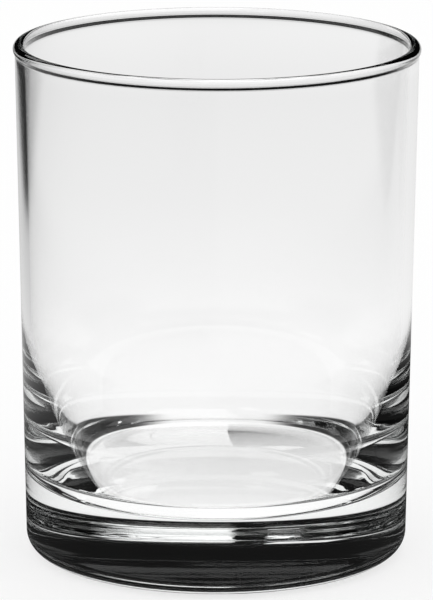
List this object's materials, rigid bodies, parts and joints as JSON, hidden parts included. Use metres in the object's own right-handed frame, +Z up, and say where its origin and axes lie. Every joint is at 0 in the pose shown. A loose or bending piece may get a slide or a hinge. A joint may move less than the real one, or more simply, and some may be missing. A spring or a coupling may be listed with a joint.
{
  "type": "double old fashioned glass",
  "caption": "Short straight-sided tumbler of clear glass with a thick solid base, a rounded heel and a low rounded bead at the rim, for drinks served over ice.",
  "frame": {"origin": "on the axis of the glass, at the height of the table that it stands on", "axes": "+Z up along the axis of the glass, out of its mouth; X and Y lie on the table and any turn about Z is the same glass"},
  "size_m": [0.083, 0.083, 0.1061],
  "materials": {
    "clear_glass": "clear polished soda-lime glass"
  },
  "bodies": {
    "root": {"heavy_base": "clear_glass", "floor_corner": "clear_glass", "wall_foot": "clear_glass", "side_wall": "clear_glass", "rim_bead": "clear_glass"}
  },
  "joints": []
}
